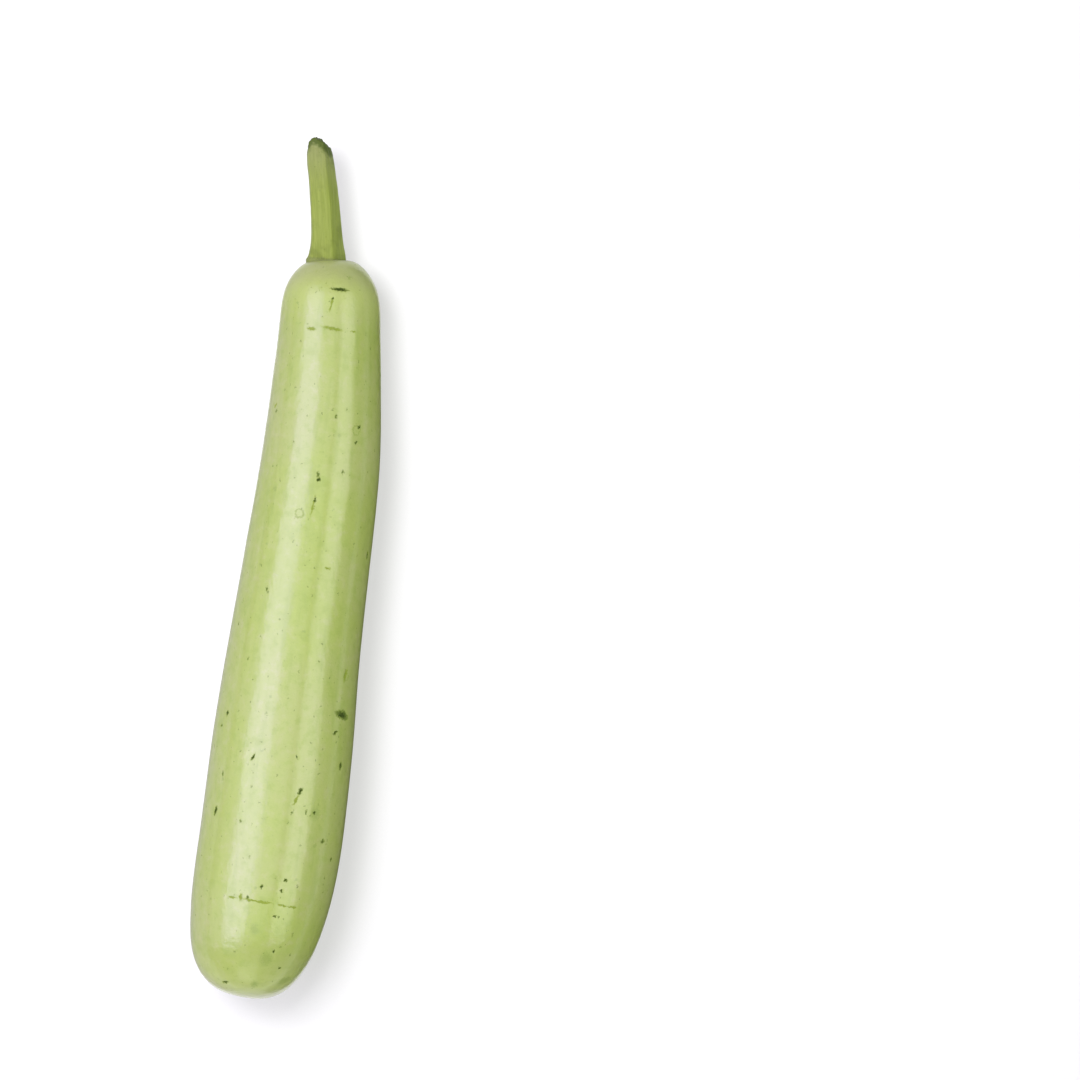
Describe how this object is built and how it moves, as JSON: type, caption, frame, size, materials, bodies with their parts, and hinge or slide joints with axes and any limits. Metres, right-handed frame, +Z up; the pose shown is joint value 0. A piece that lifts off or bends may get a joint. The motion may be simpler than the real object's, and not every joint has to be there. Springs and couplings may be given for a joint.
{
  "type": "bottle gourd",
  "caption": "Long club-shaped gourd with smooth waxy skin, lying on its side, its neck bowed a little, with a short ribbed stem cut off at the narrow end.",
  "frame": {"origin": "on the surface that the gourd rests on, under the middle of its box", "axes": "+Y runs along the gourd from its blossom end to its stem, +Z is up, and +X is the side that its neck bows towards"},
  "size_m": [0.0596, 0.3512, 0.0557],
  "materials": {
    "gourd_skin": "satin",
    "gourd_stem": "matte"
  },
  "bodies": {
    "root": {"fruit": "gourd_skin", "stem": "gourd_stem"}
  },
  "joints": []
}
